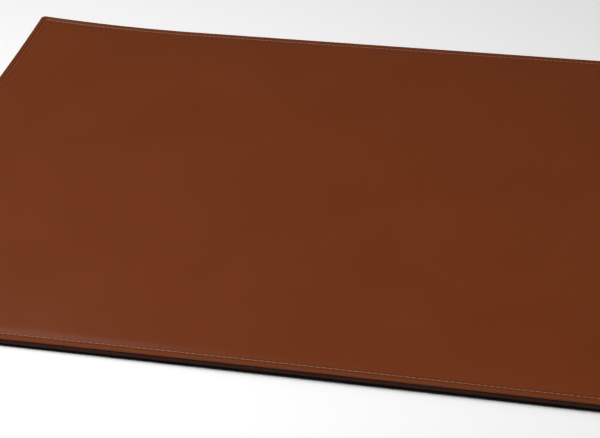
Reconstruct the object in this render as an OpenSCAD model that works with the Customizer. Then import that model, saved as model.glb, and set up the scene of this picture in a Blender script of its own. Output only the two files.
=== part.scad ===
// Desk mat: a stitched leather panel on a wrapped board with a felt underside.
// Millimetres, +Z up. The origin is on the desk under the middle of the mat, and
// the long side runs along X. From the desk up the layers are: felt, wrapped board,
// levelling card, hem, stiffener, foam and leather.

/* [Mat] */
// Width, side to side
mat_w = 864; // [400:1:1200]
// Depth, front to back
mat_d = 508; // [250:1:800]
// Radius of the leather's four corners, seen from above
corner_r = 4; // [3:0.5:10]

/* [Leather panel] */
// Thickness of the leather, pared thin so that it folds
leather_t = 0.5; // [0.4:0.05:0.8]
// Width of the hem turned under the panel
hem_w = 14; // [11:1:30]
// Thickness of the stiffener that the hem is folded round
stiffener_t = 0.3; // [0.2:0.05:0.6]
// Thickness of the foam where the stitching squeezes it flat
foam_flat_t = 0.1; // [0.05:0.05:0.4]
// Extra height of the foam in the middle of the mat
foam_rise = 0.6; // [0.2:0.1:2]
// Distance over which the foam swells to its full height
foam_slope_w = 10; // [4:1:30]

/* [Base] */
// Thickness of the board
board_t = 3.2; // [2:0.1:6]
// Thickness of the leatherette wrapped round the board's edge
wrap_t = 0.4; // [0.2:0.05:0.7]
// Width of the leatherette that is glued down on each face of the board
wrap_turn_w = 12; // [11:1:30]
// Radius of the wrapped board's long edges
wrap_edge_r = 0.9; // [0.8:0.05:1.2]
// How far the wrapped board stands back from the leather's edge
wrap_inset = 0.3; // [0:0.1:1]
// Thickness of the felt under the wrapped edge
felt_t = 1.8; // [0.8:0.1:3]
// How far the felt stands back from the leather's edge
felt_inset = 0.9; // [0:0.1:1.5]
// Space left between the levelling card or the felt and a turned edge
turn_gap = 0.5; // [0.2:0.1:2]

/* [Stitching] */
// Distance from the leather's edge to the row of stitches
stitch_in = 6; // [3:0.5:9]
// Length of one stitch, hole to hole
stitch_pitch = 4.7; // [3:0.1:8]
// Length of each needle hole along the row
needle_hole_l = 0.9; // [0.5:0.1:1.5]
// Diameter of the thread that shows on top
needle_thread_d = 0.56; // [0.3:0.02:0.8]
// Depth that the top thread is pulled into the leather
needle_thread_sink = 0.3; // [0.1:0.05:0.3]
// Diameter of the thread under the hem
bobbin_thread_d = 0.3; // [0.2:0.02:0.32]
// Space between a thread and the groove that it lies in
thread_gap = 0.03; // [0.02:0.01:0.1]

/* [Hidden] */

// Heights of the layers above the desk
wrap_z = felt_t;
board_z = wrap_z + wrap_t;
card_z = board_z + board_t;
hem_z = card_z + wrap_t;
stiffener_z = hem_z + leather_t;
foam_z = stiffener_z + stiffener_t;
lip_z = foam_z + foam_flat_t + leather_t;
crown_z = lip_z + foam_rise;

// The leather's folded edge is a half round as high as the panel is thick there
fold_r = (lip_z - hem_z) / 2;

// The foam starts to swell behind the stitches, inside the rounded corners
swell_in = max(stitch_in + needle_thread_d, corner_r);
swell_steps = 6;

// Set-backs from the leather's edge
wrap_turn_in = wrap_inset + wrap_turn_w;
card_in = max(hem_w, wrap_turn_in) + turn_gap;
felt_pad_in = wrap_turn_in + turn_gap;
wrap_corner_r = corner_r - wrap_inset;

// The two threads lie in grooves along the same four lines
needle_thread_z = lip_z - needle_thread_sink + needle_thread_d / 2;
bobbin_thread_z = hem_z + thread_gap + bobbin_thread_d / 2;

// Overrun of a cutting shape past the face that it cuts
cut = 1;
$fn = 48;

// ---- Shared shapes ----

// Rectangular plate with upright edges, standing back from the mat's outline
module block(inset, z, t) {
    translate([-mat_w / 2 + inset, -mat_d / 2 + inset, z])
        cube([mat_w - 2 * inset, mat_d - 2 * inset, t]);
}

// Plate with rounded corners, standing back from the mat's outline
module plate(inset, z, t) {
    r = corner_r - inset;
    translate([-mat_w / 2 + inset, -mat_d / 2 + corner_r, z])
        cube([mat_w - 2 * inset, mat_d - 2 * corner_r, t]);
    translate([-mat_w / 2 + corner_r, -mat_d / 2 + inset, z])
        cube([mat_w - 2 * corner_r, mat_d - 2 * inset, t]);
    for (sx = [-1, 1], sy = [-1, 1])
        translate([sx * (mat_w / 2 - corner_r), sy * (mat_d / 2 - corner_r), z])
            cylinder(r = r, h = t);
}

// Frame between two rectangles, standing back from the mat's outline
module frame(outer_in, inner_in, z, t) {
    difference() {
        block(outer_in, z, t);
        block(inner_in, z - cut, t + 2 * cut);
    }
}

// Carries a section round the mat. The section's x runs outwards from the centre
// of a corner, so it lies between 0 and corner_r, and its y is the height.
module round_the_mat() {
    side = [mat_d - 2 * corner_r, mat_w - 2 * corner_r];
    out = [mat_w / 2 - corner_r, mat_d / 2 - corner_r];
    for (i = [0:3]) {
        rotate([0, 0, 90 * i])
            translate([out[i % 2], side[i % 2] / 2, 0])
                rotate([90, 0, 0])
                    linear_extrude(height = side[i % 2])
                        children();
        rotate([0, 0, 90 * i])
            translate([out[i % 2], side[i % 2] / 2, 0])
                rotate_extrude(angle = 90)
                    children();
    }
}

// Section of a flat layer whose edge is rounded by r, reaching x from the centre
// of a corner, between two heights
module rounded_section(x, r, z0, z1) {
    translate([0, z0])
        square([x - r, z1 - z0]);
    if (z1 - z0 > 2 * r)
        translate([0, z0 + r])
            square([x, z1 - z0 - 2 * r]);
    for (z = [z0 + r, z1 - r])
        translate([x - r, z])
            circle(r = r);
}

// Outline of the swell across a span, its top lowered by drop and its foot at z.
// The swell rises as half a wave from behind the stitches to its full height.
module swell_section(span, drop, z) {
    edge = span / 2;
    rise = [for (i = [0:swell_steps]) [
        edge - swell_in - foam_slope_w * i / swell_steps,
        lip_z - drop + foam_rise * (1 - cos(180 * i / swell_steps)) / 2
    ]];
    fall = [for (i = [swell_steps:-1:0]) [-rise[i][0], rise[i][1]]];
    polygon(concat(
        [[edge, z], [edge, lip_z - drop]],
        rise,
        fall,
        [[-edge, lip_z - drop], [-edge, z]]
    ));
}

// The swell over the whole mat, mitred where two slopes meet at a corner
module swell(drop, z) {
    intersection() {
        translate([-mat_w / 2, 0, 0])
            rotate([90, 0, 90])
                linear_extrude(height = mat_w)
                    swell_section(mat_d, drop, z);
        translate([0, mat_d / 2, 0])
            rotate([90, 0, 0])
                linear_extrude(height = mat_d)
                    swell_section(mat_w, drop, z);
    }
}

// The four straight lines of the stitching, each drawn along X from its middle:
// the child is told the line's length
module along_the_stitching() {
    run = [mat_w - 2 * stitch_in, mat_d - 2 * stitch_in];
    for (i = [0:3])
        rotate([0, 0, 90 * i])
            translate([0, run[(i + 1) % 2] / 2, 0]) {
                $run_l = run[i % 2];
                children();
            }
}

// Square-sided groove for a thread of diameter d, under all four lines of stitches
module groove(d, z, t) {
    half_w = d / 2 + thread_gap;
    frame(stitch_in - half_w, stitch_in + half_w, z, t);
}

// One row of stitches, an even number of them, spaced to end on a hole at each corner
module stitch_row(d, z) {
    count = 2 * round($run_l / stitch_pitch / 2);
    pitch = $run_l / count;
    for (i = [0:count - 1])
        translate([-$run_l / 2 + pitch * i + needle_hole_l / 2, 0, z])
            rotate([0, 90, 0])
                cylinder(d = d, h = pitch - needle_hole_l);
}

// ---- Leather panel ----

// Leather: the face, its half-round edge and the hem folded under, in one skin
module top_leather() {
    color([0.42, 0.21, 0.11])
        difference() {
            union() {
                round_the_mat()
                    difference() {
                        rounded_section(corner_r, fold_r, hem_z, lip_z);
                        translate([-cut, stiffener_z])
                            square([corner_r + cut - fold_r, lip_z - hem_z - 2 * leather_t]);
                        translate([corner_r - fold_r, hem_z + fold_r])
                            circle(r = fold_r - leather_t);
                    }
                intersection() {
                    difference() {
                        swell(0, lip_z - leather_t);
                        swell(leather_t, hem_z);
                    }
                    block(corner_r, hem_z, crown_z);
                }
                frame(corner_r, hem_w, hem_z, leather_t);
            }
            groove(needle_thread_d, lip_z - needle_thread_sink - thread_gap, cut);
            groove(bobbin_thread_d, hem_z - cut, cut + bobbin_thread_d + 2 * thread_gap);
        }
}

// Foam: thin at the stitching and full in the middle, which crowns the mat
module foam_padding() {
    color([0.86, 0.84, 0.78])
        intersection() {
            swell(leather_t, foam_z);
            plate(fold_r, foam_z, crown_z);
        }
}

// Stiffener: the sheet that the hem is folded round
module panel_stiffener() {
    color([0.66, 0.60, 0.50])
        plate(fold_r, stiffener_z, stiffener_t);
}

// ---- Base ----

// Card: fills the space inside the turned edges, so that they don't show through
module levelling_card() {
    color([0.60, 0.58, 0.55])
        block(card_in, card_z, stiffener_z - card_z);
}

// Board: gives the mat its stiffness
module core_board() {
    color([0.45, 0.33, 0.22]) {
        round_the_mat()
            rounded_section(wrap_corner_r - wrap_t, wrap_edge_r - wrap_t, board_z, card_z);
        block(corner_r, board_z, board_t);
    }
}

// Leatherette: wraps the board's edge and is turned in on both of its faces
module edge_wrap() {
    color([0.17, 0.10, 0.09]) {
        round_the_mat()
            difference() {
                rounded_section(wrap_corner_r, wrap_edge_r, wrap_z, hem_z);
                rounded_section(wrap_corner_r - wrap_t, wrap_edge_r - wrap_t, board_z, card_z);
            }
        for (z = [wrap_z, card_z])
            frame(corner_r, wrap_turn_in, z, wrap_t);
    }
}

// Felt: the face that rests on the desk, thicker inside the turned edge
module underside_felt() {
    color([0.07, 0.07, 0.07]) {
        plate(felt_inset, 0, felt_t);
        block(felt_pad_in, 0, board_z);
    }
}

// ---- Stitching ----

// Top thread: the stitches that show, lying in a groove in the leather
module needle_thread() {
    color([0.62, 0.44, 0.33])
        along_the_stitching()
            stitch_row(needle_thread_d, needle_thread_z);
}

// Bottom thread: locks the stitches, and lies in a groove under the hem
module bobbin_thread() {
    color([0.50, 0.36, 0.27])
        along_the_stitching()
            stitch_row(bobbin_thread_d, bobbin_thread_z);
}

top_leather();
foam_padding();
panel_stiffener();
levelling_card();
core_board();
edge_wrap();
underside_felt();
needle_thread();
bobbin_thread();
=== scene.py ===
# %% [markdown]
# # A stitched leather desk mat
# A desk mat is a stack of thin sheets: felt, a wrapped board, card, a stiffener, foam and a leather
# face that is folded round the stiffener and stitched. The CAD model has settled every size. This
# lesson makes the same nine pieces as a maker would see them, with rounded folds, pulled stitches
# and real finishes.

# %% Load the frame
import math
import random

import bmesh
import bpy
from mathutils import Matrix, Vector, noise


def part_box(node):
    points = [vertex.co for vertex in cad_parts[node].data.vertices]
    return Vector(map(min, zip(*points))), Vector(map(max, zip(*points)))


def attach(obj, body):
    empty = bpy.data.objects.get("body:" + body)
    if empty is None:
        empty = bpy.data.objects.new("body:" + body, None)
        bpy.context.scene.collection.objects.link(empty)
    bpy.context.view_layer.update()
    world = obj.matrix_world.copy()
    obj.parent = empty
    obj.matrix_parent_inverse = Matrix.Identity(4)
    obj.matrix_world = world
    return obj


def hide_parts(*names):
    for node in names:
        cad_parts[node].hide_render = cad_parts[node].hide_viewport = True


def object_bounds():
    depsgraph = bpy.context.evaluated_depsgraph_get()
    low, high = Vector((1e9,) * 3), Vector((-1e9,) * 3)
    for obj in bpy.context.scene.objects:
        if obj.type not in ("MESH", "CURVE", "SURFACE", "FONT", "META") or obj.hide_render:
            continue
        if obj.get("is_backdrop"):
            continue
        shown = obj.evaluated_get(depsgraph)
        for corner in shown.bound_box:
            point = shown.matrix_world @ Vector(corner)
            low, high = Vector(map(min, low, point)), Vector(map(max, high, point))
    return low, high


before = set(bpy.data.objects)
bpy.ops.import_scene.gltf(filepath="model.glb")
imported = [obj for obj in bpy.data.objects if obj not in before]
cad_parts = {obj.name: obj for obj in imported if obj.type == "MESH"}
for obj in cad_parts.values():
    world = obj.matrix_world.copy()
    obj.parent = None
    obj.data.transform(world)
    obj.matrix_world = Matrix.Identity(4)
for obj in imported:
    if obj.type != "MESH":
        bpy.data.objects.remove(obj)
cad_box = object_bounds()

print("CAD nodes:", ", ".join(sorted(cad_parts)))

# %% [markdown]
# ## Measures
# The boxes of the CAD nodes give the heights of the layers and how far each stands back from the
# leather's edge. What a box can't tell, such as the radius of the corners or the length of a stitch,
# is written here once, with the same value as in the design. The rim is the one exception: the design
# has it level with the stitches, and here it puffs up a little outside them.

# %% Heights and set-backs of the layers
MM = 0.001
# Points or lines that are less than this apart count as one.
SAME_POINT = MM / 1000
SAME_LINE = MM / 20

leather_low, leather_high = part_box("top_leather")
foam_low, foam_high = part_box("foam_padding")
stiffener_low, stiffener_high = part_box("panel_stiffener")
card_low, card_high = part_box("levelling_card")
board_low, board_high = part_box("core_board")
wrap_low, wrap_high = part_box("edge_wrap")
felt_low, felt_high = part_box("underside_felt")

HALF_W = leather_high.x
HALF_D = leather_high.y
CORNER_R = 4 * MM
LEATHER_T = leather_high.z - foam_high.z
SWELL_H = 0.6 * MM
RIM_H = 0.5 * MM
SEAM_Z = leather_high.z - SWELL_H
LIP_Z = SEAM_Z + RIM_H
HEM_Z = leather_low.z
HEM_W = 14 * MM
FOLD_R = (LIP_Z - HEM_Z) / 2

print(f"mat {2 * HALF_W / MM:.0f} x {2 * HALF_D / MM:.0f} mm, crown at {leather_high.z / MM:.1f} mm")
print(f"leather {LEATHER_T / MM:.2f} mm thick, its fold {2 * FOLD_R / MM:.2f} mm high")

# %% Measures of the stitching
needle_low, needle_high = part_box("needle_thread")
bobbin_low, bobbin_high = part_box("bobbin_thread")

NEEDLE_D = needle_high.z - needle_low.z
BOBBIN_D = bobbin_high.z - bobbin_low.z
STITCH_IN = HALF_D - needle_high.y + NEEDLE_D / 2
STITCH_L = 4.7 * MM
RUNS = [2 * (HALF_W - STITCH_IN), 2 * (HALF_D - STITCH_IN)]
STITCHES = [2 * round(run / STITCH_L / 2) for run in RUNS]

print(f"stitch row {STITCH_IN / MM:.1f} mm in, thread {NEEDLE_D / MM:.2f} mm")
print("stitches on a long and a short side:", STITCHES)

# %% [markdown]
# ## The camera
# The mat is seen from above the right of its front edge, from far away through a long lens, so its
# sides hardly converge. The camera is turned, tipped down and leaned a little, in that order.

# %% Camera
CAMERA_PLACE = Vector((0.2523, -1.3054, 0.8336))
CAMERA_TURN = math.radians(15.55)
CAMERA_TIP = math.radians(90 - 32.47)
CAMERA_LEAN = math.radians(-3.22)

camera_data = bpy.data.cameras.new("camera")
camera_data.lens = 113.8
camera_data.sensor_width = 36
camera = bpy.data.objects.new("camera", camera_data)
camera.matrix_world = (
    Matrix.Translation(CAMERA_PLACE)
    @ Matrix.Rotation(CAMERA_TURN, 4, "Z")
    @ Matrix.Rotation(CAMERA_TIP, 4, "X")
    @ Matrix.Rotation(CAMERA_LEAN, 4, "Z")
)
bpy.context.scene.collection.objects.link(camera)
bpy.context.scene.camera = camera
print(f"camera {CAMERA_PLACE.length:.2f} m from the mat's middle, {camera_data.lens:.0f} mm lens")

# %% [markdown]
# ## How the mat lies
# A mat that has been leant against a wall isn't quite flat any more. Here the back left corner
# curls a few millimetres off the desk, and the front edge bows up a little in its middle. One
# function gives the lift at any point, and every piece is lifted by it, so that the layers stay
# together.

# %% The curled corner and the bowed front edge
CURL_H = 6.6 * MM
CURL_ALONG_X = 159 * MM
CURL_ALONG_Y = 176 * MM
BOW_H = 2 * MM


def lift(x, y):
    """How far the mat stands off the desk at a point."""
    near_x = max(0, 1 - (x + HALF_W) / CURL_ALONG_X)
    near_y = max(0, 1 - (HALF_D - y) / CURL_ALONG_Y)
    curl = CURL_H * near_x**2 * near_y**2
    bow = BOW_H * math.cos(math.pi * x / (2 * HALF_W)) * (HALF_D - y) / (2 * HALF_D)
    return curl + bow


print(f"lift at the curled corner {lift(-HALF_W, HALF_D) / MM:.1f} mm,"
      f" at the middle of the front {lift(0, -HALF_D) / MM:.1f} mm")

# %% [markdown]
# ## One way to make every layer
# Each layer is a flat plate with an edge of its own section: square, rounded or folded. It could be
# a box with bevels, but the leather's edge needs two dozen rings of points in exact places. So each
# layer starts as a grid with four rounded corners, and its outline is extruded ring by ring down
# and round the section. A ring keeps its shape as it moves: its straight sides stay parallel to the
# mat's edge, and its corners keep the mat's corner centres, or turn in a sharp mitre further in.

# %% Carry a ring of points to another distance from the edge
MITRE_R = 0.4 * MM


def corner_radius(inset):
    """Radius of a ring's corners at a distance in from the edge."""
    return max(CORNER_R - inset, MITRE_R)


def carry(verts, inset_from, inset_to, z):
    """Moves a ring to another distance in from the edge, and to a height."""
    r_from, r_to = corner_radius(inset_from), corner_radius(inset_to)
    for axis, half in ((0, HALF_W), (1, HALF_D)):
        run_from = half - inset_from - r_from
        run_to = half - inset_to - r_to
        for vert in verts:
            along = max(-run_from, min(run_from, vert.co[axis]))
            round_part = vert.co[axis] - along
            vert.co[axis] = along * run_to / run_from + round_part * r_to / r_from
    for vert in verts:
        vert.co.z = z


def extrude(bm, ring):
    """Extrudes a ring of edges where it lies. Returns the new ring's points and its edges."""
    made = bmesh.ops.extrude_edge_only(bm, edges=ring)["geom"]
    verts = {part for part in made if isinstance(part, bmesh.types.BMVert)}
    edges = [part for part in made if isinstance(part, bmesh.types.BMEdge)]
    return verts, [edge for edge in edges if verts.issuperset(edge.verts)]


def follow(bm, ring, section):
    """Extrudes a ring along a section, from the first of its (inset, height) points to the last."""
    for (inset_from, _), (inset_to, z) in zip(section, section[1:]):
        verts, ring = extrude(bm, ring)
        carry(verts, inset_from, inset_to, z)


print(f"corner radius at the edge {corner_radius(0) / MM:.1f} mm,"
      f" at the stitches {corner_radius(STITCH_IN) / MM:.1f} mm")

# %% The grid that each layer starts from
CORNER_STEPS = 8
CELLS = [STITCHES[0] // 2, STITCHES[1] // 2]


def start_grid(bm, inset, z, cuts=0):
    """A flat grid with rounded corners, two stitches to a cell. Returns its outermost edges."""
    half_w, half_d = HALF_W - inset, HALF_D - inset
    bmesh.ops.create_grid(bm, x_segments=CELLS[0], y_segments=CELLS[1], size=1)
    bmesh.ops.scale(bm, vec=(half_w, half_d, 1), verts=bm.verts)
    bmesh.ops.translate(bm, vec=(0, 0, z), verts=bm.verts)
    if cuts:
        outline = [edge for edge in bm.edges if edge.is_boundary]
        bmesh.ops.subdivide_edges(bm, edges=outline, cuts=cuts)
    tips = [vert for vert in bm.verts
            if abs(vert.co.x) > half_w - SAME_LINE and abs(vert.co.y) > half_d - SAME_LINE]
    bmesh.ops.bevel(bm, geom=tips, offset=corner_radius(inset), affect="VERTICES",
                    segments=CORNER_STEPS, profile=0.5, material=-1)
    return [edge for edge in bm.edges if edge.is_boundary]


print(f"{CELLS[0]} x {CELLS[1]} cells, each about {RUNS[0] / CELLS[0] / MM:.1f} mm wide")


# %% Plates that follow a section
def quarter_turn(inset, z, r, start, steps=4):
    """Points of a quarter circle in the section, after its first: the centre is (inset, z)."""
    angles = [math.radians(start - 90 * i / steps) for i in range(1, steps + 1)]
    return [(inset - r * math.cos(angle), z + r * math.sin(angle)) for angle in angles]


def plate(section, cuts=0):
    """A closed plate: its edge follows the section from top to bottom."""
    bm = bmesh.new()
    inset, top_z = section[0]
    low_z = section[-1][1]
    ring = start_grid(bm, inset, top_z, cuts)
    top = list(bm.faces)
    follow(bm, ring, section)
    copied = bmesh.ops.duplicate(bm, geom=top)["geom"]
    under = [part for part in copied if isinstance(part, bmesh.types.BMVert)]
    bmesh.ops.translate(bm, vec=(0, 0, low_z - top_z), verts=under)
    bmesh.ops.remove_doubles(bm, verts=bm.verts, dist=SAME_POINT)
    bmesh.ops.recalc_face_normals(bm, faces=bm.faces)
    return bm


# %% Turn a finished shape into a piece
SHARP_ANGLE = math.radians(50)


def make_piece(bm, name, node):
    """Lays the shape as the mat lies and makes it the piece that stands for a CAD node."""
    for vert in bm.verts:
        vert.co.z += lift(vert.co.x, vert.co.y)
    mesh = bpy.data.meshes.new(name)
    bm.to_mesh(mesh)
    bm.free()
    mesh.shade_smooth()
    mesh.set_sharp_from_angle(angle=SHARP_ANGLE)
    piece = bpy.data.objects.new(name, mesh)
    bpy.context.scene.collection.objects.link(piece)
    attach(piece, "root")
    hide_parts(node)
    mesh.calc_loop_triangles()
    size = [f"{side / MM:.1f}" for side in piece.dimensions]
    print(f"{name}: {' x '.join(size)} mm, {len(mesh.loop_triangles)} triangles")
    return piece


# %% [markdown]
# ## The swell of the face and the puffed rim
# Stitching squeezes the foam flat. A finger's breadth further in the foam has its full height, and
# outside the thread it puffs up again as a narrow rim, so the stitches lie in a valley. On both
# sides the leather rises steeply from the thread and then levels out, like the edge of a pillow:
# an arc of a parabola. The leather and the foam share these curves.

# %% Swell and rim
SWELL_IN = STITCH_IN + NEEDLE_D
SWELL_W = 10 * MM
SWELL_STEPS = 6
GROOVE_W = 0.34 * MM
RIM_IN = 1.7 * MM
RIM_STEPS = 4
VALLEY_DEEP = 0.08 * MM
VALLEY_Z = SEAM_Z - VALLEY_DEEP


def swell(drop):
    """Section of the swell, from the level middle down to the valley, lowered by drop."""
    points = []
    for i in range(SWELL_STEPS + 1):
        fallen = (i / SWELL_STEPS) ** 2
        inset = SWELL_IN + SWELL_W * (1 - i / SWELL_STEPS)
        points.append((inset, VALLEY_Z - drop + (SWELL_H + VALLEY_DEEP) * (1 - fallen)))
    return points


def rim(drop):
    """Section of the rim, from the valley outwards to its level top, lowered by drop."""
    points = []
    foot = STITCH_IN - GROOVE_W
    for i in range(RIM_STEPS + 1):
        to_rise = (1 - i / RIM_STEPS) ** 2
        inset = foot + (RIM_IN - foot) * i / RIM_STEPS
        points.append((inset, VALLEY_Z - drop + (LIP_Z - VALLEY_Z) * (1 - to_rise)))
    return points


print("swell heights (mm):", [round(z / MM, 2) for _, z in swell(0)])
print("rim heights (mm):", [round(z / MM, 2) for _, z in rim(0)])

# %% [markdown]
# ## The leather face
# A side of leather is pared thin, laid over the foam, folded round the stiffener and turned under
# as a hem. It is one skin: a level face, the swell, a groove that the thread pulls into the valley,
# the rim, a half-round nose and the hem. Only its outside is drawn, ring by ring, and Solidify gives
# the skin its thickness. A ring has three points to a stitch, so that the groove can dip at each
# hole.

# %% Section of the leather
GROOVE_DEEP = 0.34 * MM
HOLE_DEEP = 0.12 * MM
NOSE_STEPS = 4

leather_section = swell(0)
leather_section += [(STITCH_IN + GROOVE_W, VALLEY_Z), (STITCH_IN, VALLEY_Z - GROOVE_DEEP)]
leather_section += rim(0)
leather_section += [(FOLD_R, LIP_Z)]
leather_section += quarter_turn(FOLD_R, LIP_Z - FOLD_R, FOLD_R, 90, NOSE_STEPS)
leather_section += quarter_turn(FOLD_R, LIP_Z - FOLD_R, FOLD_R, 0, NOSE_STEPS)
leather_section += [(HEM_W, HEM_Z)]
print(len(leather_section), "rings across the leather's section")

# %% Skin of the leather, outside only
LEATHER_CUTS = 5
HOLE_L = 0.75 * MM

leather = bmesh.new()
at_hole = leather.verts.layers.int.new("at_hole")
worn = leather.verts.layers.float.new("worn")
# The needle holes and the valley along the thread are marked for painted shade, and the rubbed edge
# for wear.
painted_hole_shade = leather.verts.layers.float.new("painted_hole_shade")
painted_valley_shade = leather.verts.layers.float.new("painted_valley_shade")
start_in, start_z = leather_section[0]
start_w, start_d = HALF_W - start_in, HALF_D - start_in
corner_reach = MITRE_R + SAME_POINT
ring = start_grid(leather, start_in, start_z, LEATHER_CUTS)


def nearest_hole(along, half, stitches):
    """How far a point is from the nearest needle hole along a side, and that hole's place."""
    pitch = 2 * half / stitches
    hole = round((along + half) / pitch) * pitch - half
    return along - hole, hole


for vert in {vert for edge in ring for vert in edge.verts}:
    on_long_side = abs(vert.co.y) > start_d - SAME_LINE
    axis = 0 if on_long_side else 1
    off, hole = nearest_hole(vert.co[axis], (start_w, start_d)[axis], STITCHES[axis])
    to_corner_x, to_corner_y = start_w - abs(vert.co.x), start_d - abs(vert.co.y)
    if max(to_corner_x, to_corner_y) < corner_reach:
        vert[at_hole] = int(abs(to_corner_x - to_corner_y) < SAME_LINE)
    elif abs(off) < SAME_LINE:
        vert[at_hole] = 1
    else:
        vert.co[axis] = hole + math.copysign(HOLE_L, off)

follow(leather, ring, leather_section)
print(f"leather's outside: {len(leather.faces)} faces")

# %% [markdown]
# The skin's points are now moved one by one, as the real skin is shaped by the machine and by use:
# each needle hole is a small pit whose shade the finish paints dark, the valley along the thread gets
# painted shade too, and the face isn't dead level but waves by a few hundredths of a millimetre over
# the foam, which is what makes the light on it cloudy.

# %% Needle holes, wear, painted shade and waves
WAVE_H = 0.045 * MM
WAVE_L = 70 * MM
RIPPLE_SHARE = 0.5
RIPPLE_TIMES = 2.7
VALLEY_SHADE_W = 2.6 * MM
WORN_FULL_IN = FOLD_R
WORN_NONE_IN = 3 * FOLD_R


def distance_in(co):
    """Distance in from the nearest edge of the mat."""
    return min(HALF_W - abs(co.x), HALF_D - abs(co.y))


for vert in leather.verts:
    depth_in = distance_in(vert.co)
    on_top = vert.co.z > LIP_Z - FOLD_R
    # Each needle hole dips, and is marked for the shade that the finish paints in it.
    if vert[at_hole] and on_top and abs(depth_in - STITCH_IN) < SAME_LINE:
        vert.co.z -= HOLE_DEEP
        vert[painted_hole_shade] = 1
    if on_top:
        rubbing = (WORN_NONE_IN - depth_in) / (WORN_NONE_IN - WORN_FULL_IN)
        vert[worn] = min(1, max(0, rubbing))
        # Painted shade along the valley: it is full at the stitches and gone a few millimetres to
        # each side.
        vert[painted_valley_shade] = max(0, 1 - abs(depth_in - STITCH_IN) / VALLEY_SHADE_W)
        inside = min(1, max(0, (depth_in - SWELL_IN) / SWELL_W))
        ripple = RIPPLE_SHARE * noise.noise(vert.co / WAVE_L * RIPPLE_TIMES)
        vert.co.z += WAVE_H * inside * (noise.noise(vert.co / WAVE_L) + ripple)

# %% [markdown]
# Solidify adds the inside of the skin, a leather's thickness in from the outside. It would also
# press the groove's shape through to the underside, where the real leather is squeezed flat, so
# the points under the groove are put back at the level of the leather's underside.

# %% Thickness of the leather
PRESSED_W = 3 * GROOVE_W

outside = set(leather.verts)
bmesh.ops.recalc_face_normals(leather, faces=leather.faces)
if max(leather.faces, key=lambda face: face.calc_area()).normal.z < 0:
    bmesh.ops.reverse_faces(leather, faces=leather.faces)
bmesh.ops.solidify(leather, geom=leather.faces[:], thickness=LEATHER_T)
for vert in set(leather.verts) - outside:
    if abs(distance_in(vert.co) - STITCH_IN) < PRESSED_W:
        vert.co.z = VALLEY_Z - LEATHER_T
bmesh.ops.recalc_face_normals(leather, faces=leather.faces)
print(f"{len(outside)} points outside, {len(leather.verts) - len(outside)} inside")
print(f"lowest {min(v.co.z for v in leather.verts) / MM:.2f} mm,"
      f" highest {max(v.co.z for v in leather.verts) / MM:.2f} mm")

leather_face = make_piece(leather, "leather_face", "top_leather")

# %% [markdown]
# The hide was cut larger than the mat: each side runs over the edge, round the fold and in under
# the hem.

# %% [markdown]
# ## Foam, stiffener and card
# These fill the panel and never show. The foam follows the leather, thin at the stitches, full in
# the middle and puffed in the rim. The stiffener is what the hem is folded round. The card lies
# between the turned edges and keeps them from showing through. All three are plates with their own
# sections.

# %% Foam
foam_section = swell(LEATHER_T) + rim(LEATHER_T)
foam_section += [
    (FOLD_R, LIP_Z - LEATHER_T),
    (FOLD_R, foam_low.z),
    (SWELL_IN + SWELL_W, foam_low.z),
]
foam_sheet = make_piece(plate(foam_section), "foam_sheet", "foam_padding")


# %% Stiffener and card
def square_edge(inset, low, high, ease):
    """Section of a cut edge: upright, with its two arrises just taken off."""
    return [(inset + ease, high), (inset, high - ease), (inset, low + ease), (inset + ease, low)]


EASE = 0.06 * MM
stiffener_section = square_edge(FOLD_R, stiffener_low.z, stiffener_high.z, EASE)
stiffener_sheet = make_piece(plate(stiffener_section), "stiffener_sheet", "panel_stiffener")

card_in = HALF_W - card_high.x
card_section = square_edge(card_in, card_low.z, card_high.z, EASE)
card_sheet = make_piece(plate(card_section), "card_sheet", "levelling_card")

# %% [markdown]
# ## The wrapped board
# A sheet of hardboard with eased edges gives the mat its stiffness. Its edge is wrapped in dark
# leatherette, a strip that is glued round the edge and turned in on both faces. The strip is a
# ring: it starts as the outline of a grid without its faces, and runs once round its own section
# until it meets itself.

# %% Board
WRAP_T = board_low.z - wrap_low.z
WRAP_R = 0.9 * MM
WRAP_W = 12 * MM

board_in = HALF_W - board_high.x
board_r = WRAP_R - WRAP_T
board_section = [(board_in + board_r, board_high.z)]
board_section += quarter_turn(board_in + board_r, board_high.z - board_r, board_r, 90)
board_section += [(board_in, board_low.z + board_r)]
board_section += quarter_turn(board_in + board_r, board_low.z + board_r, board_r, 0)
hardboard_core = make_piece(plate(board_section), "hardboard_core", "core_board")

# %% Leatherette round the board's edge
wrap_in = HALF_W - wrap_high.x
outer_in = wrap_in + WRAP_R
wrap_section = [(wrap_in + WRAP_W, wrap_high.z), (outer_in, wrap_high.z)]
wrap_section += quarter_turn(outer_in, wrap_high.z - WRAP_R, WRAP_R, 90)
wrap_section += [(wrap_in, wrap_low.z + WRAP_R)]
wrap_section += quarter_turn(outer_in, wrap_low.z + WRAP_R, WRAP_R, 0)
wrap_section += [(wrap_in + WRAP_W, wrap_low.z), (wrap_in + WRAP_W, board_low.z)]
wrap_section += board_section[::-1]
wrap_section += [(wrap_in + WRAP_W, board_high.z), wrap_section[0]]

wrap = bmesh.new()
ring = start_grid(wrap, *wrap_section[0])
bmesh.ops.delete(wrap, geom=wrap.faces, context="FACES_KEEP_BOUNDARY")
follow(wrap, ring, wrap_section)
bmesh.ops.remove_doubles(wrap, verts=wrap.verts, dist=SAME_POINT)
bmesh.ops.recalc_face_normals(wrap, faces=wrap.faces)
leatherette_wrap = make_piece(wrap, "leatherette_wrap", "edge_wrap")

# %% The leatherette as a strip
# Its width laid flat: the two turn-ins, the two rounded arrises and the upright edge.
strip_w = 2 * (WRAP_W - WRAP_R) + math.pi * (WRAP_R - WRAP_T / 2)
strip_w += wrap_high.z - wrap_low.z - 2 * WRAP_R

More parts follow.
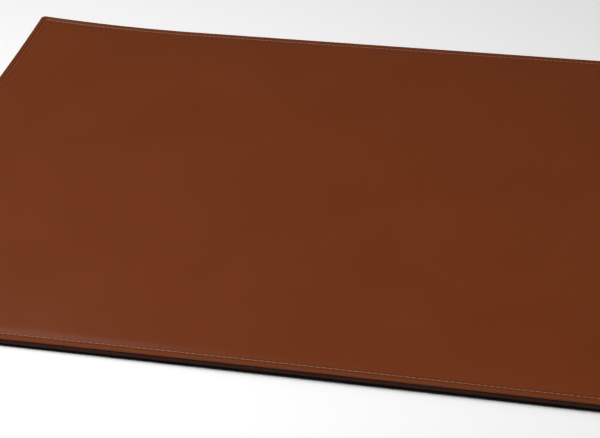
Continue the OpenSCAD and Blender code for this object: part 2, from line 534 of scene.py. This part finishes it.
# %% [markdown]
# ## The felt
# The felt is glued under the board and its wrapped edge. Inside the leatherette's turn it is thicker
# and reaches up to the board, so that its underside is level. Felt has no clean edge: the cut frays a
# little, so the points of its side are moved in at random, by the same amounts at each run.

# %% Felt
FELT_CUTS = 3
FELT_EASE = 0.2 * MM
FRAY = 0.14 * MM
TURN_GAP = 0.5 * MM
felt_in = HALF_W - felt_high.x
felt_t = wrap_low.z
pad_in = wrap_in + WRAP_W + TURN_GAP

felt_edge = square_edge(felt_in, felt_low.z, felt_t, FELT_EASE)
felt_section = [(pad_in, felt_high.z), (pad_in, felt_t)]
felt_section += [*felt_edge[:2], (felt_in, felt_t / 2), *felt_edge[2:]]
felt_section += [(pad_in, felt_low.z)]
felt = plate(felt_section, FELT_CUTS)
fray = random.Random(11)
for vert in felt.verts:
    if distance_in(vert.co) < felt_in + FELT_EASE / 2 and felt_low.z < vert.co.z < felt_t:
        inward = FRAY * fray.random()
        vert.co.x -= math.copysign(inward, vert.co.x)
        vert.co.y -= math.copysign(inward, vert.co.y)
felt_base = make_piece(felt, "felt_base", "underside_felt")

# %% [markdown]
# ## The stitches
# A lockstitch shows as a row of short lengths of thread, each coming up out of one needle hole and
# going down into the next. The thread is three plies twisted together. One stitch is made first:
# a six-sided ring with every other point drawn in, which gives three plies, is extruded along an
# arched path and turned at each step. The path's places are shares of the stitch's length, and its
# heights are shares of its dip. Then the stitch is copied along the four sides, each copy a little
# different, because no two stitches are pulled equally tight.

# %% One stitch
PLIES = 3
STITCH_PATH = [(0.12, -0.6), (0.17, -0.35), (0.25, -0.13), (0.4, -0.05),
               (0.6, -0.05), (0.75, -0.13), (0.83, -0.35), (0.88, -0.6)]
PLY_DEEP = 0.8
PLY_TURN = math.radians(26)


def one_stitch(pitch, diameter, dip):
    """A stitch along X, from hole to hole, its middle at the origin's height."""
    bm = bmesh.new()
    bmesh.ops.create_circle(bm, segments=2 * PLIES, radius=diameter / 2)
    for vert in list(bm.verts)[::2]:
        vert.co *= PLY_DEEP
    bmesh.ops.rotate(bm, verts=bm.verts, matrix=Matrix.Rotation(math.pi / 2, 3, "Y"))
    verts, ring = bm.verts[:], bm.edges[:]
    place = Vector((0, 0, 0))
    for step, (along, height) in enumerate(STITCH_PATH):
        target = Vector((pitch * (along - 0.5), 0, dip * height))
        if step > 0:
            verts, ring = extrude(bm, ring)
            verts = list(verts)
            bmesh.ops.rotate(bm, verts=verts, cent=place, matrix=Matrix.Rotation(PLY_TURN, 3, "X"))
        bmesh.ops.translate(bm, verts=verts, vec=target - place)
        place = target
    bmesh.ops.holes_fill(bm, edges=[edge for edge in bm.edges if edge.is_boundary])
    bmesh.ops.recalc_face_normals(bm, faces=bm.faces)
    mesh = bpy.data.meshes.new("one stitch")
    bm.to_mesh(mesh)
    bm.free()
    return mesh


# %% A row of stitches on each side
LEAN = math.radians(2.5)
LOOSE_LEAN = math.radians(1.2)
LOOSE_LIFT = 0.03 * MM


def stitching(diameter, z, dip, seed):
    """Stitches along the four sides, each copy lifted and turned a little."""
    loose = random.Random(seed)
    bm = bmesh.new()
    for side in range(4):
        run, count = RUNS[side % 2], STITCHES[side % 2]
        pitch = run / count
        stitch = one_stitch(pitch, diameter, dip)
        out = RUNS[(side + 1) % 2] / 2
        for i in range(count):
            copy = stitch.copy()
            copy.transform(
                Matrix.Rotation(math.radians(90 * side), 4, "Z")
                @ Matrix.Translation((pitch * (i + 0.5) - run / 2, out, z))
                @ Matrix.Translation((0, 0, loose.uniform(-LOOSE_LIFT, LOOSE_LIFT)))
                @ Matrix.Rotation(LEAN + loose.uniform(-LOOSE_LEAN, LOOSE_LEAN), 4, "Z")
            )
            bm.from_mesh(copy)
            bpy.data.meshes.remove(copy)
        bpy.data.meshes.remove(stitch)
    return bm


needle_z = (needle_low.z + needle_high.z) / 2
needle_row = stitching(NEEDLE_D, needle_z, dip=MM, seed=5)
top_stitching = make_piece(needle_row, "top_stitching", "needle_thread")

bobbin_z = (bobbin_low.z + bobbin_high.z) / 2
bobbin_row = stitching(BOBBIN_D, bobbin_z, dip=-MM / 2, seed=6)
under_stitching = make_piece(bobbin_row, "under_stitching", "bobbin_thread")

# %% [markdown]
# ## Finishes
# Every finish is a Principled BSDF fed by a few patterns that read Object coordinates, which are
# metres on the mat. A pattern's Scale is one over its real size, so a helper turns millimetres into
# a Scale. Colours are written as sRGB hex values, as a paint chart gives them, and turned to linear.

# %% Helpers for the finishes
# A Mix node has sockets of the same name for each kind of value, so they go by their numbers.
MIX_A, MIX_B, MIX_RESULT = 6, 7, 2
NUMBER_A, NUMBER_B, NUMBER_RESULT = 2, 3, 0


def linear(hex_colour):
    """The linear colour of an sRGB hex value."""
    values = [int(hex_colour[i:i + 2], 16) / 255 for i in (1, 3, 5)]
    values = [v / 12.92 if v <= 0.04045 else ((v + 0.055) / 1.055) ** 2.4 for v in values]
    return (*values, 1)


def per(millimetres):
    """The Scale of a pattern whose features are this size."""
    return 1 / (millimetres * MM)


def add_node(material, kind, options=None, values=None, links=None):
    """Adds a node: options are its settings, values its typed inputs, links its wired inputs."""
    made = material.node_tree.nodes.new("ShaderNode" + kind)
    for name, value in (options or {}).items():
        setattr(made, name, value)
    for name, value in (values or {}).items():
        made.inputs[name].default_value = value
    for name, source in (links or {}).items():
        material.node_tree.links.new(source, made.inputs[name])
    return made


def new_finish(name, **values):
    """A material with its shader's own values set, its shader and its Object coordinates."""
    material = bpy.data.materials.new(name)
    material.use_nodes = True
    shader = material.node_tree.nodes["Principled BSDF"]
    for socket, value in values.items():
        shader.inputs[socket.replace("_", " ")].default_value = value
    place = add_node(material, "TexCoord").outputs["Object"]
    return material, shader, place


# %% [markdown]
# ### Satin pigmented leather
# The face is corrected-grain cowhide: sanded, sprayed with brown pigment and plated smooth with a
# hot iron. That leaves a very fine grain and a satin shine that differs in soft patches. The rubbed
# edge is a shade lighter and has lost its shine. Painted shade darkens the valley along the thread,
# and the needle holes between the stitches are painted dark as painted shade.

# %% Leather
leather_finish, shader, place = new_finish("satin_pigmented_leather", IOR=1.45)

clouds = add_node(leather_finish, "TexNoise",
                  values={"Scale": per(95), "Detail": 3, "Roughness": 0.55}, links={"Vector": place})
mottle = add_node(leather_finish, "TexNoise",
                  values={"Scale": per(9), "Detail": 4, "Roughness": 0.6}, links={"Vector": place})
toned = add_node(leather_finish, "Mix", {"data_type": "RGBA"},
                 {MIX_A: linear("#672F12"), MIX_B: linear("#703518")},
                 {"Factor": clouds.outputs["Fac"]})
speckled = add_node(leather_finish, "Mix", {"data_type": "RGBA", "blend_type": "MULTIPLY"},
                    {"Factor": 0.12},
                    {MIX_A: toned.outputs[MIX_RESULT], MIX_B: mottle.outputs["Color"]})
rubbed = add_node(leather_finish, "Attribute", {"attribute_name": "worn"})
edged = add_node(leather_finish, "Mix", {"data_type": "RGBA"}, {MIX_B: linear("#6B3419")},
                 {"Factor": rubbed.outputs["Fac"], MIX_A: speckled.outputs[MIX_RESULT]})
# Painted shade: the leather is coloured darker along the valley beside the thread.
pressed = add_node(leather_finish, "Attribute", {"attribute_name": "painted_valley_shade"})
shaded = add_node(leather_finish, "Mix", {"data_type": "RGBA"}, {MIX_B: linear("#592407")},
                  {"Factor": pressed.outputs["Fac"], MIX_A: edged.outputs[MIX_RESULT]})
# Painted shade: the needle holes are coloured near black to stand for the shadow in them.
holes = add_node(leather_finish, "Attribute", {"attribute_name": "painted_hole_shade"})
hole_shaded = add_node(leather_finish, "Mix", {"data_type": "RGBA"}, {MIX_B: linear("#1E0D07")},
                 {"Factor": holes.outputs["Fac"], MIX_A: shaded.outputs[MIX_RESULT]})
leather_finish.node_tree.links.new(hole_shaded.outputs[MIX_RESULT], shader.inputs["Base Color"])

# %% Shine and grain of the leather
shine = add_node(leather_finish, "MapRange",
                 values={"From Min": 0.3, "From Max": 0.7, "To Min": 0.28, "To Max": 0.33},
                 links={"Value": clouds.outputs["Fac"]})
dulled = add_node(leather_finish, "Mix", values={NUMBER_B: 0.6},
                  links={"Factor": rubbed.outputs["Fac"], NUMBER_A: shine.outputs["Result"]})
faded = add_node(leather_finish, "MapRange", values={"To Min": 0.25, "To Max": 0.06},
                 links={"Value": rubbed.outputs["Fac"]})
leather_finish.node_tree.links.new(dulled.outputs[NUMBER_RESULT], shader.inputs["Roughness"])
leather_finish.node_tree.links.new(faded.outputs["Result"], shader.inputs["Specular IOR Level"])

# Real pores are about 0.2 mm apart: these are drawn at 1.1 mm, so that they show at all.
grain = add_node(leather_finish, "TexVoronoi", {"feature": "SMOOTH_F1"},
                 {"Scale": per(1.1), "Smoothness": 0.6}, {"Vector": place})
grain_bump = add_node(leather_finish, "Bump", values={"Strength": 0.25, "Distance": 0.05 * MM},
                      links={"Height": grain.outputs["Distance"]})
leather_finish.node_tree.links.new(grain_bump.outputs["Normal"], shader.inputs["Normal"])
leather_face.data.materials.append(leather_finish)

# %% [markdown]
# ### Embossed leatherette
# The wrap is a dark brown coated fabric with a small embossed grain. Its coating is dull, so it
# stays dark beside the pale desk.

# %% Leatherette
wrap_finish, shader, place = new_finish(
    "embossed_dark_leatherette", Roughness=0.62, Specular_IOR_Level=0.05)
pebbles = add_node(wrap_finish, "TexVoronoi", {"feature": "SMOOTH_F1"},
                   {"Scale": per(0.8), "Smoothness": 0.4}, {"Vector": place})
pebbled = add_node(wrap_finish, "Mix", {"data_type": "RGBA"},
                   {MIX_A: linear("#43241E"), MIX_B: linear("#331813")},
                   {"Factor": pebbles.outputs["Distance"]})
wrap_bump = add_node(wrap_finish, "Bump", values={"Strength": 0.5, "Distance": 0.06 * MM},
                     links={"Height": pebbles.outputs["Distance"]})
wrap_finish.node_tree.links.new(pebbled.outputs[MIX_RESULT], shader.inputs["Base Color"])
wrap_finish.node_tree.links.new(wrap_bump.outputs["Normal"], shader.inputs["Normal"])
leatherette_wrap.data.materials.append(wrap_finish)

# %% [markdown]
# ### Needled black felt
# Felt is a mat of fine fibres with no weave. It scatters light and has no shine, and its fibres
# catch a faint light at a low angle, which is what sheen is for.

# %% Felt
felt_finish, shader, place = new_finish(
    "needled_black_felt", Roughness=0.95, Specular_IOR_Level=0.02, Sheen_Weight=0.02,
    Sheen_Roughness=0.6)
fibres = add_node(felt_finish, "TexNoise",
                  values={"Scale": per(0.9), "Detail": 5, "Roughness": 0.7, "Distortion": 1.2},
                  links={"Vector": place})
fibrous = add_node(felt_finish, "Mix", {"data_type": "RGBA"},
                   {MIX_A: linear("#050404"), MIX_B: linear("#0E0C0B")},
                   {"Factor": fibres.outputs["Fac"]})
felt_bump = add_node(felt_finish, "Bump", values={"Strength": 0.8, "Distance": 0.2 * MM},
                     links={"Height": fibres.outputs["Fac"]})
felt_finish.node_tree.links.new(fibrous.outputs[MIX_RESULT], shader.inputs["Base Color"])
felt_finish.node_tree.links.new(felt_bump.outputs["Normal"], shader.inputs["Normal"])
felt_base.data.materials.append(felt_finish)

# %% [markdown]
# ### Bonded polyester thread
# The thread is tan polyester filament, twisted in three plies and bonded. Filament shines a little
# more than leather, and the plies are in the shape already, so the finish only varies the colour.

# %% Thread
thread_finish, shader, place = new_finish(
    "bonded_tan_polyester_thread", Roughness=0.5, Specular_IOR_Level=0.3, Sheen_Weight=0.15)
strands = add_node(thread_finish, "TexNoise", values={"Scale": per(0.5), "Detail": 3},
                   links={"Vector": place})
stranded = add_node(thread_finish, "Mix", {"data_type": "RGBA"},
                    {MIX_A: linear("#8F6A50"), MIX_B: linear("#A9866B")},
                    {"Factor": strands.outputs["Fac"]})
strand_bump = add_node(thread_finish, "Bump", values={"Strength": 0.4, "Distance": 0.05 * MM},
                       links={"Height": strands.outputs["Fac"]})
thread_finish.node_tree.links.new(stranded.outputs[MIX_RESULT], shader.inputs["Base Color"])
thread_finish.node_tree.links.new(strand_bump.outputs["Normal"], shader.inputs["Normal"])
for threads in (top_stitching, under_stitching):
    threads.data.materials.append(thread_finish)

# %% [markdown]
# ### Finishes of the hidden sheets
# Hardboard is pressed wood fibre, card is pulped paper, the stiffener is bonded leather fibre, and
# the foam has open cells. They all vary in the same way, in two tones with flecks of their own size
# and a dull surface, so one loop makes the four.

# %% Hidden sheets
HIDDEN = [
    (hardboard_core, "pressed_wood_fibre_hardboard", "#6E4C2E", "#8A6440", 1.5, 0.7),
    (card_sheet, "pulped_grey_card", "#908B84", "#A39E97", 0.8, 0.9),
    (stiffener_sheet, "bonded_leather_fibre_sheet", "#9C8E76", "#B3A68C", 1.2, 0.8),
    (foam_sheet, "open_cell_foam", "#D4CEBD", "#E6E1D4", 0.6, 1.0),
]
for piece, name, dark, light, fleck, dull in HIDDEN:
    finish, shader, place = new_finish(name, Roughness=dull, Specular_IOR_Level=0.3)
    flecks = add_node(finish, "TexNoise", values={"Scale": per(fleck), "Detail": 4},
                      links={"Vector": place})
    flecked = add_node(finish, "Mix", {"data_type": "RGBA"},
                       {MIX_A: linear(dark), MIX_B: linear(light)},
                       {"Factor": flecks.outputs["Fac"]})
    fleck_bump = add_node(finish, "Bump", values={"Strength": 0.3, "Distance": 0.05 * MM},
                          links={"Height": flecks.outputs["Fac"]})
    finish.node_tree.links.new(flecked.outputs[MIX_RESULT], shader.inputs["Base Color"])
    finish.node_tree.links.new(fleck_bump.outputs["Normal"], shader.inputs["Normal"])
    piece.data.materials.append(finish)
    print(f"{piece.name}: {name}")

# %% [markdown]
# ## Floor and light
# The mat lies on a plain pale floor. The strongest light stands high at the front left, so that end
# of the mat is the brighter one, and a second hangs overhead. The third is small and weak, at the
# back left. The level face mirrors none of them, but the swell behind the front stitches tips up far
# enough to catch the third, which draws a line of light along them.

# %% Floor
FLOOR_REACH = 12

floor_mesh = bpy.data.meshes.new("floor")
floor_shape = bmesh.new()
bmesh.ops.create_grid(floor_shape, x_segments=1, y_segments=1, size=FLOOR_REACH)
floor_shape.to_mesh(floor_mesh)
floor_shape.free()
floor = bpy.data.objects.new("floor", floor_mesh)
bpy.context.scene.collection.objects.link(floor)
floor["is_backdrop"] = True
floor_finish, *_ = new_finish(
    "matte_white_paper", Base_Color=linear("#F0F0F0"), Roughness=0.9, Specular_IOR_Level=0.1)
floor_mesh.materials.append(floor_finish)


# %% Lights
def soft_light(name, place, aim, size, power):
    """A square area light that faces a point."""
    data = bpy.data.lights.new(name, "AREA")
    data.size = size
    data.energy = power
    light = bpy.data.objects.new(name, data)
    light.location = place
    light.rotation_euler = (Vector(aim) - Vector(place)).to_track_quat("-Z", "Y").to_euler()
    bpy.context.scene.collection.objects.link(light)
    print(f"{name}: {size} m square, {power} W")


soft_light("front_left_softbox", (-0.6, -0.4, 1.4), aim=(-0.25, -0.1, 0), size=1.2, power=25)
soft_light("overhead_softbox", (0, -0.5, 2.6), aim=(0, 0, 0), size=1.6, power=15)
soft_light("back_left_softbox", (-1.1, 0.95, 1.72), aim=(-0.2, -0.2, 0), size=0.5, power=2.8)

world = bpy.data.worlds.new("studio")
world.use_nodes = True
world.node_tree.nodes["Background"].inputs["Color"].default_value = (0.05, 0.05, 0.05, 1)
bpy.context.scene.world = world
bpy.context.scene.view_settings.view_transform = "Standard"

# %% [markdown]
# ## The size
# The looks may not change the mat's size. Both boxes are kept, so that they can be compared.

# %% Sizes before and after
boxes = {"cad": cad_box, "visual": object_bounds()}
for name, (low, high) in boxes.items():
    print(name, "box (mm):", [round(side / MM, 1) for side in high - low])
